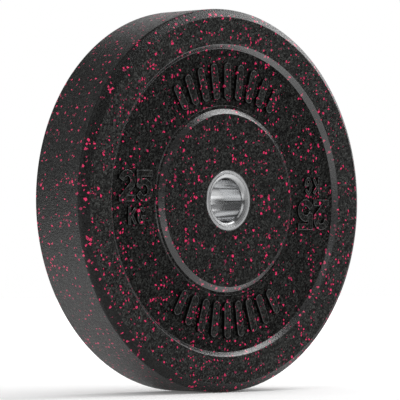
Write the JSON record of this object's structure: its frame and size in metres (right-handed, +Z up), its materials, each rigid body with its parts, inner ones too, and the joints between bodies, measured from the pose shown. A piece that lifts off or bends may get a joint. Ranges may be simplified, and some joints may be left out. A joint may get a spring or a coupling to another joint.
{
  "type": "bumper plate",
  "caption": "Round crumb rubber barbell plate with a steel-lined bar bore, raised weight figures and a recessed ring on each face.",
  "frame": {"origin": "centre of the disc, half way along the bar bore", "axes": "+Y along the bar bore from the front face to the rear face, so the front faces -Y; +Z up, the plate standing on its tread; +X to the right as seen from the front"},
  "size_m": [0.45, 0.092, 0.45],
  "materials": {
    "crumb_rubber": "matt black crumb with red flecks",
    "polished_steel": "polished stainless",
    "rolled_steel": "plain rolled, buried in the rubber"
  },
  "bodies": {
    "root": {"rubber_body": "crumb_rubber", "hub_sleeve": "polished_steel", "hub_ring_front": "polished_steel", "hub_ring_rear": "polished_steel", "core_disc": "rolled_steel"}
  },
  "joints": []
}
